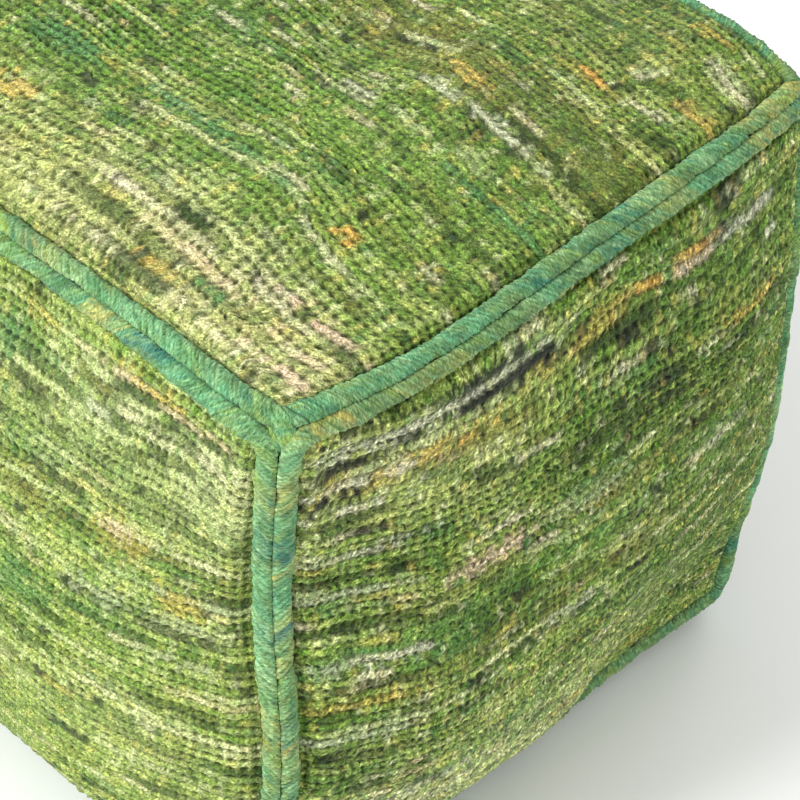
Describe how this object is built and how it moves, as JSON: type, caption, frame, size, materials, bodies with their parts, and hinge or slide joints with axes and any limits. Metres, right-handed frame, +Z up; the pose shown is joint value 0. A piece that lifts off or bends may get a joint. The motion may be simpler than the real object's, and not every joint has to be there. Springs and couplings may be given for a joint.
{
  "type": "cube pouf stool",
  "caption": "Filled cube pouf stool with crowned woven panels and a thick rolled yarn edging round each panel, for a seat or footrest.",
  "frame": {"origin": "middle of the flat face that the pouf stands on, at floor level", "axes": "+Z up; -Y out of the front panel, which is the left one of the two side panels seen in the picture; +X out of the right panel"},
  "size_m": [0.5466, 0.5433, 0.4593],
  "materials": {
    "woven_cover": "matt hand-woven yarn in rows of thick loops, variegated greens with cream, mustard and near-black",
    "edging_yarn_top": "matt soft yarn, variegated aqua, teal, green and yellow",
    "edging_yarn_bottom": "matt soft yarn, variegated aqua, teal, green and yellow",
    "edging_yarn_right": "matt soft yarn, variegated aqua, teal, green and yellow",
    "edging_yarn_left": "matt soft yarn, variegated aqua, teal, green and yellow",
    "edging_yarn_front": "matt soft yarn, variegated aqua, teal, green and yellow",
    "edging_yarn_back": "matt soft yarn, variegated aqua, teal, green and yellow"
  },
  "bodies": {
    "root": {"cover": "woven_cover", "edging_top": "edging_yarn_top", "edging_bottom": "edging_yarn_bottom", "edging_right": "edging_yarn_right", "edging_left": "edging_yarn_left", "edging_front": "edging_yarn_front", "edging_back": "edging_yarn_back"}
  },
  "joints": []
}
